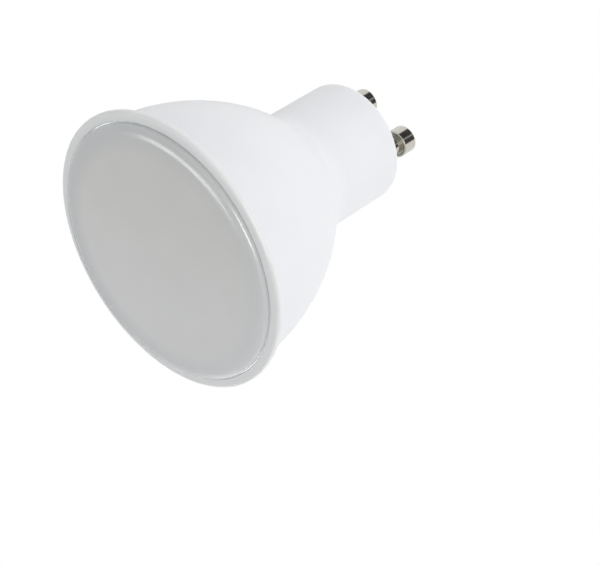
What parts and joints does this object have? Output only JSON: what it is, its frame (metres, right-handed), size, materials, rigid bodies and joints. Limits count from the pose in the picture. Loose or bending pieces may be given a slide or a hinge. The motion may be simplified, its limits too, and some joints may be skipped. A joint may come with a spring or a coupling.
{
  "type": "led spotlight bulb",
  "caption": "LED spotlight bulb with a milky flat light face, white bell-shaped plastic body and a twist-lock cap with mushroom-headed contact pins.",
  "frame": {"origin": "centre of the front of the diffuser, which the lamp stands on", "axes": "+Z along the lamp's axis from the light face to the contact pins; +X through the live pin; +Y square to both"},
  "size_m": [0.05, 0.05, 0.0573],
  "materials": {
    "housing_plastic": "satin moulded white PBT",
    "diffuser_plastic": "milky satin polycarbonate",
    "pin_plating": "bright nickel plate on turned brass",
    "cast_aluminium": "as cast",
    "board_mask": "white solder mask on an aluminium core",
    "diode_body": "white resin frame, clear window",
    "screw_steel": "zinc plated",
    "driver_laminate": "green solder mask on glass laminate",
    "capacitor_sleeve": "shrunk sleeve on an aluminium can",
    "ferrite": "sintered ferrite",
    "winding_copper": "enamelled copper wire",
    "chip_black": "moulded epoxy",
    "resistor_coat": "baked lacquer on ceramic",
    "lead_red": "extruded insulation",
    "lead_white": "extruded insulation",
    "lead_black": "extruded insulation",
    "solder_tin": "bright tin solder"
  },
  "bodies": {
    "root": {"housing": "housing_plastic", "diffuser": "diffuser_plastic", "contact_pin_live": "pin_plating", "contact_pin_neutral": "pin_plating", "heat_sink_cup": "cast_aluminium", "led_board": "board_mask", "led_chips": "diode_body", "board_screws": "screw_steel", "driver_board": "driver_laminate", "input_capacitor": "capacitor_sleeve", "output_capacitor": "capacitor_sleeve", "inductor_core": "ferrite", "inductor_winding": "winding_copper", "bridge_rectifier": "chip_black", "driver_chip": "chip_black", "fuse_resistor": "resistor_coat", "freewheel_diode": "chip_black", "chip_resistors": "chip_black", "live_lead": "lead_red", "neutral_lead": "lead_white", "led_lead_positive": "lead_red", "led_lead_negative": "lead_black", "solder_joints": "solder_tin"}
  },
  "joints": []
}
